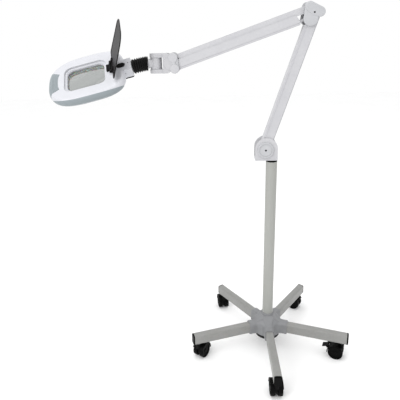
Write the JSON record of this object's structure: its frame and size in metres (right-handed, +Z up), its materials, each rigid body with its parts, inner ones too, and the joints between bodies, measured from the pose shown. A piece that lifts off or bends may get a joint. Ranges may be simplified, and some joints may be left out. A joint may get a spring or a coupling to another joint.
{
  "type": "magnifying lamp",
  "caption": "Magnifying lamp on a five-star rolling base, with two balanced parallelogram arms and an egg-shaped head around a rectangular lens with a flip-up cover.",
  "frame": {"origin": "on the floor, under the pole's axis", "axes": "+X along the arms' plane towards the elbow's side, -Y is the front with the head's lens side rolled towards it, +Z up"},
  "size_m": [0.9488, 0.5382, 1.1656],
  "materials": {
    "arm_paint": "satin silver-grey powder coat",
    "leg_paint": "satin grey powder coat",
    "pole_tube": "satin anodised",
    "hub_plastic": "fine moulded grain",
    "black_plastic": "fine moulded grain",
    "black_rubber": "matte",
    "tread": "smooth hard nylon",
    "iron_weight": "black paint over sand-cast surface",
    "steel": "zinc plated",
    "spring_steel": "zinc plated wire",
    "cap_plastic": "silver-grey moulded plastic",
    "shell_white": "satin white moulded plastic",
    "panel_grey": "blue-grey moulded plastic",
    "lens_glass": "polished",
    "smoke_plastic": "smoked translucent plastic",
    "circuit_board": "white solder mask",
    "diffuser": "opal translucent plastic"
  },
  "bodies": {
    "base": {"hub": "hub_plastic", "hub_weight": "iron_weight", "leg_1": "leg_paint", "leg_2": "leg_paint", "leg_3": "leg_paint", "leg_4": "leg_paint", "leg_5": "leg_paint", "leg_end_plugs": "black_plastic", "pole": "pole_tube", "pole_foot_ring": "cap_plastic", "pole_top_bush": "black_plastic", "base_screws": "steel", "caster_stems": "steel"},
    "caster_1": {"caster_hood_1": "black_plastic"},
    "wheel_left_1": {"wheel_left_1": "tread"},
    "wheel_right_1": {"wheel_right_1": "tread"},
    "caster_2": {"caster_hood_2": "black_plastic"},
    "wheel_left_2": {"wheel_left_2": "tread"},
    "wheel_right_2": {"wheel_right_2": "tread"},
    "brake_2": {"brake_pedal_2": "black_plastic"},
    "caster_3": {"caster_hood_3": "black_plastic"},
    "wheel_left_3": {"wheel_left_3": "tread"},
    "wheel_right_3": {"wheel_right_3": "tread"},
    "caster_4": {"caster_hood_4": "black_plastic"},
    "wheel_left_4": {"wheel_left_4": "tread"},
    "wheel_right_4": {"wheel_right_4": "tread"},
    "caster_5": {"caster_hood_5": "black_plastic"},
    "wheel_left_5": {"wheel_left_5": "tread"},
    "wheel_right_5": {"wheel_right_5": "tread"},
    "brake_5": {"brake_pedal_5": "black_plastic"},
    "bracket": {"arm_bracket": "arm_paint", "bracket_caps": "cap_plastic", "bracket_pins": "steel"},
    "lower_arm": {"lower_arm": "arm_paint", "lower_springs": "spring_steel"},
    "lower_link": {"lower_link": "arm_paint"},
    "elbow": {"elbow_block": "arm_paint", "elbow_covers": "cap_plastic", "elbow_pins": "steel"},
    "upper_arm": {"upper_arm": "arm_paint", "upper_springs": "spring_steel"},
    "upper_link": {"upper_link": "arm_paint"},
    "head_bracket": {"head_bracket": "arm_paint", "head_bracket_pins": "steel"},
    "knuckle": {"swivel_knuckle": "arm_paint", "neck_pins": "steel", "bellows": "black_rubber"},
    "neck": {"neck_stem": "steel"},
    "head": {"upper_shell": "shell_white", "lower_shell": "shell_white", "tip_grille": "panel_grey", "side_panels": "panel_grey", "lens_frame": "shell_white", "lens": "lens_glass", "hinge_block": "black_plastic", "led_board": "circuit_board", "light_diffuser": "diffuser", "head_screws": "steel"},
    "cover": {"lens_cover": "smoke_plastic"},
    "switch": {"rocker_switch": "black_plastic"}
  },
  "joints": [
    {"name": "caster_swivel_1", "type": "hinge", "parent": "base", "child": "caster_1", "pos_m": [0, -0.259, 0], "axis": [0, 0, 1], "continuous": true},
    {"name": "wheel_left_spin_1", "type": "hinge", "parent": "caster_1", "child": "wheel_left_1", "pos_m": [0, -0.242, 0.025], "axis": [-1, 0, 0], "continuous": true},
    {"name": "wheel_right_spin_1", "type": "hinge", "parent": "caster_1", "child": "wheel_right_1", "pos_m": [0, -0.242, 0.025], "axis": [-1, 0, 0], "continuous": true},
    {"name": "caster_swivel_2", "type": "hinge", "parent": "base", "child": "caster_2", "pos_m": [0.24632, -0.08004, 0], "axis": [0, 0, 1], "continuous": true},
    {"name": "wheel_left_spin_2", "type": "hinge", "parent": "caster_2", "child": "wheel_left_2", "pos_m": [0.23079, -0.07312, 0.025], "axis": [-0.4067, -0.9135, 0], "continuous": true},
    {"name": "wheel_right_spin_2", "type": "hinge", "parent": "caster_2", "child": "wheel_right_2", "pos_m": [0.23079, -0.07312, 0.025], "axis": [-0.4067, -0.9135, 0], "continuous": true},
    {"name": "brake_press_2", "type": "hinge", "parent": "caster_2", "child": "brake_2", "pos_m": [0.20613, -0.06214, 0.041], "axis": [-0.4067, -0.9135, 0], "range_deg": [0, 12]},
    {"name": "caster_swivel_3", "type": "hinge", "parent": "base", "child": "caster_3", "pos_m": [0.15224, 0.20954, 0], "axis": [0, 0, 1], "continuous": true},
    {"name": "wheel_left_spin_3", "type": "hinge", "parent": "caster_3", "child": "wheel_left_3", "pos_m": [0.13782, 0.21854, 0.025], "axis": [-0.5299, -0.848, 0], "continuous": true},
    {"name": "wheel_right_spin_3", "type": "hinge", "parent": "caster_3", "child": "wheel_right_3", "pos_m": [0.13782, 0.21854, 0.025], "axis": [-0.5299, -0.848, 0], "continuous": true},
    {"name": "caster_swivel_4", "type": "hinge", "parent": "base", "child": "caster_4", "pos_m": [-0.15224, 0.20954, 0], "axis": [0, 0, 1], "continuous": true},
    {"name": "wheel_left_spin_4", "type": "hinge", "parent": "caster_4", "child": "wheel_left_4", "pos_m": [-0.15519, 0.22628, 0.025], "axis": [-0.9848, -0.1736, 0], "continuous": true},
    {"name": "wheel_right_spin_4", "type": "hinge", "parent": "caster_4", "child": "wheel_right_4", "pos_m": [-0.15519, 0.22628, 0.025], "axis": [-0.9848, -0.1736, 0], "continuous": true},
    {"name": "caster_swivel_5", "type": "hinge", "parent": "base", "child": "caster_5", "pos_m": [-0.24632, -0.08004, 0], "axis": [0, 0, 1], "continuous": true},
    {"name": "wheel_left_spin_5", "type": "hinge", "parent": "caster_5", "child": "wheel_left_5", "pos_m": [-0.23731, -0.06562, 0.025], "axis": [-0.848, 0.5299, 0], "continuous": true},
    {"name": "wheel_right_spin_5", "type": "hinge", "parent": "caster_5", "child": "wheel_right_5", "pos_m": [-0.23731, -0.06562, 0.025], "axis": [-0.848, 0.5299, 0], "continuous": true},
    {"name": "brake_press_5", "type": "hinge", "parent": "caster_5", "child": "brake_5", "pos_m": [-0.22301, -0.04272, 0.041], "axis": [-0.848, 0.5299, 0], "range_deg": [0, 12]},
    {"name": "pole_swivel", "type": "hinge", "parent": "base", "child": "bracket", "pos_m": [0, 0, 0.7], "axis": [0, 0, 1], "range_deg": [-170, 170]},
    {"name": "lower_arm_raise", "type": "hinge", "parent": "bracket", "child": "lower_arm", "pos_m": [-0.036, 0, 0.7265], "axis": [0, -1, 0], "range_deg": [-9.3, 44.7]},
    {"name": "lower_link_turn", "type": "hinge", "parent": "bracket", "child": "lower_link", "pos_m": [-0.01, 0, 0.7435], "axis": [0, -1, 0], "range_deg": [-9.3, 44.7]},
    {"name": "elbow_level", "type": "hinge", "parent": "lower_arm", "child": "elbow", "pos_m": [0.09705, 0, 1.11959], "axis": [0, 1, 0], "range_deg": [-9.3, 44.7]},
    {"name": "upper_arm_raise", "type": "hinge", "parent": "elbow", "child": "upper_arm", "pos_m": [0.09705, 0, 1.11959], "axis": [0, 1, 0], "range_deg": [-15.6, 56.4]},
    {"name": "upper_link_turn", "type": "hinge", "parent": "elbow", "child": "upper_link", "pos_m": [0.09305, 0, 1.15159], "axis": [0, 1, 0], "range_deg": [-15.6, 56.4]},
    {"name": "wrist_level", "type": "hinge", "parent": "upper_arm", "child": "head_bracket", "pos_m": [-0.29673, 0, 0.9886], "axis": [0, -1, 0], "range_deg": [-15.6, 56.4]},
    {"name": "head_swing", "type": "hinge", "parent": "head_bracket", "child": "knuckle", "pos_m": [-0.35273, 0, 1.0046], "axis": [0, 0, 1], "range_deg": [-80, 80]},
    {"name": "head_tilt", "type": "hinge", "parent": "knuckle", "child": "neck", "pos_m": [-0.3876, -0.00305, 1.0046], "axis": [-0.0872, 0.9962, 0], "range_deg": [-40, 40], "deforming": ["bellows"]},
    {"name": "head_roll", "type": "hinge", "parent": "neck", "child": "head", "pos_m": [-0.3876, -0.00305, 1.0046], "axis": [0.9707, 0.0849, 0.225], "range_deg": [-60, 60]},
    {"name": "cover_flip", "type": "hinge", "parent": "head", "child": "cover", "pos_m": [-0.48757, -0.0237, 0.99923], "axis": [-0.1976, 0.8149, 0.5449], "range_deg": [-118, 4]},
    {"name": "switch_rock", "type": "hinge", "parent": "head", "child": "switch", "pos_m": [-0.45635, -0.01636, 0.99958], "axis": [-0.1976, 0.8149, 0.5449], "range_deg": [-4, 4]}
  ],
  "couplings": [
    {"joint": "lower_link_turn", "follows": "lower_arm_raise", "ratio": 1},
    {"joint": "elbow_level", "follows": "lower_arm_raise", "ratio": 1},
    {"joint": "upper_link_turn", "follows": "upper_arm_raise", "ratio": 1},
    {"joint": "wrist_level", "follows": "upper_arm_raise", "ratio": 1}
  ]
}
